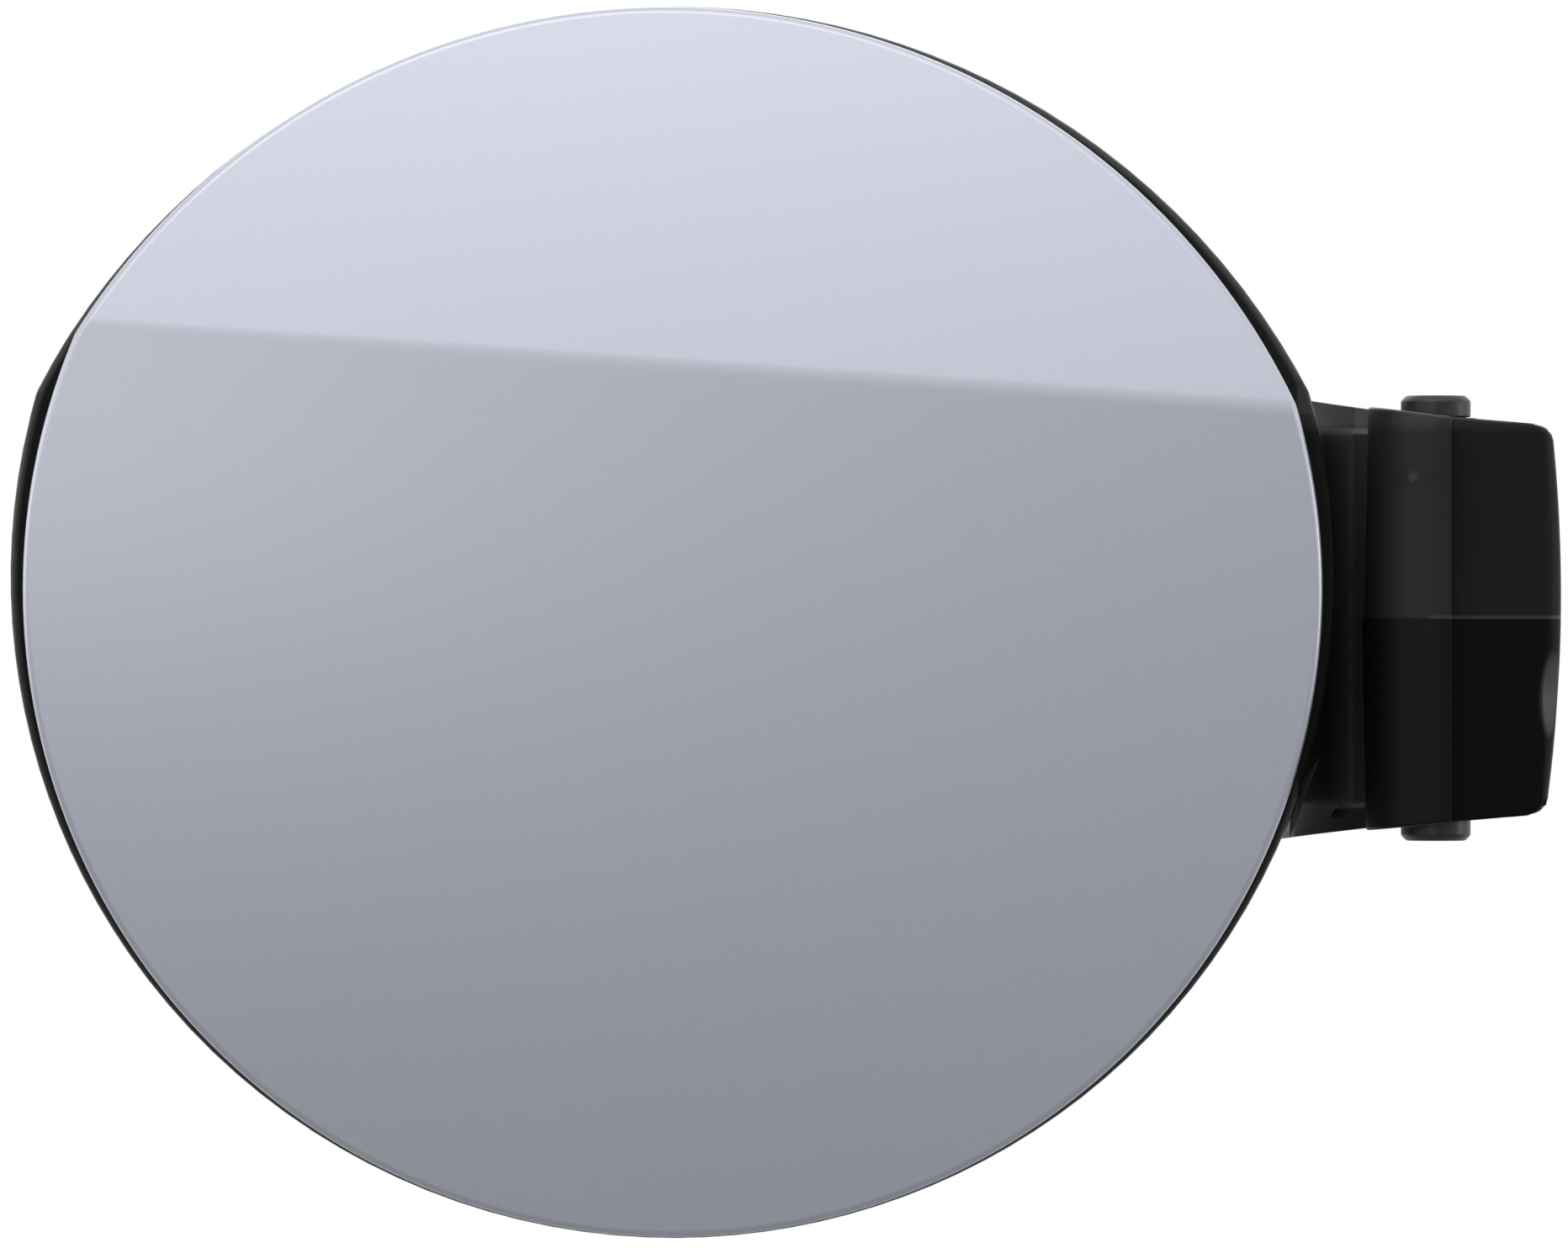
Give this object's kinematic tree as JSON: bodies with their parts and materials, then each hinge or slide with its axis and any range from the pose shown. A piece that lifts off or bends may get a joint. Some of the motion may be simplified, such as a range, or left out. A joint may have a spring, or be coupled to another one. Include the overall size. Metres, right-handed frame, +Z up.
{
  "type": "car fuel door",
  "caption": "Round painted fuel door with a crease, on a black carrier whose gooseneck arm swings on a hinge pin held in the filler bowl.",
  "frame": {"origin": "on the hinge axis, at the middle of the barrel's length", "axes": "+Z up along the hinge axis, the outer face towards -Y, the door reaching out towards -X"},
  "size_m": [0.1996, 0.0363, 0.1591],
  "materials": {
    "body_paint": "silver metallic body paint under clear coat",
    "black_moulding": "black glass-filled moulding, satin",
    "pin_steel": "ground steel",
    "bush_acetal": "black acetal, satin",
    "spring_steel": "rolled spring steel",
    "latch_acetal": "dark acetal",
    "screw_zinc": "zinc plated",
    "stop_rubber": "black rubber"
  },
  "bodies": {
    "hinge": {"hinge_pin": "pin_steel", "upper_bush": "bush_acetal", "lower_bush": "bush_acetal"},
    "door": {"outer_panel": "body_paint", "carrier": "black_moulding", "detent_spring": "spring_steel", "latch_eye": "latch_acetal", "cap_holder": "black_moulding", "inner_screws": "screw_zinc", "upper_bump_stop": "stop_rubber", "lower_bump_stop": "stop_rubber"}
  },
  "joints": [
    {"name": "door_swing", "type": "hinge", "parent": "hinge", "child": "door", "pos_m": [0, 0, 0], "axis": [0, 0, 1], "range_deg": [0, 95]}
  ]
}
